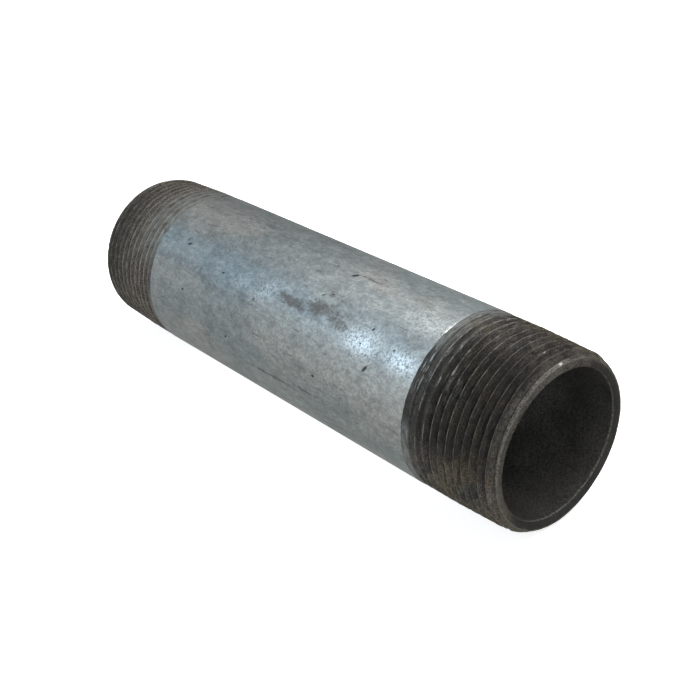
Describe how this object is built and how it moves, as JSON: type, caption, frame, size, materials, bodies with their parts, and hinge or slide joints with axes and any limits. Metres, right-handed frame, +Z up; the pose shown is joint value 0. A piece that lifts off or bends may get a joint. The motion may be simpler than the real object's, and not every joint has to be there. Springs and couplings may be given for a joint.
{
  "type": "threaded pipe nipple",
  "caption": "Straight galvanised steel pipe nipple with a plain barrel and a right-hand taper pipe thread at each end.",
  "frame": {"origin": "on the pipe's axis, at the middle of its length", "axes": "+X along the pipe's axis towards the near threaded end, +Z up, with the pipe lying on its barrel"},
  "size_m": [0.15, 0.0424, 0.0424],
  "materials": {
    "bare_steel": "die-cut bare steel, dark with old cutting oil, with worn lighter thread crests",
    "barrel_zinc": "dull hot-dip zinc, mottled blue-grey, with fine scratches and pits",
    "bore_zinc": "dull stained zinc, dark and rough"
  },
  "bodies": {
    "root": {"steel_pipe": "bare_steel", "outer_zinc_coat": "barrel_zinc", "bore_zinc_coat": "bore_zinc"}
  },
  "joints": []
}
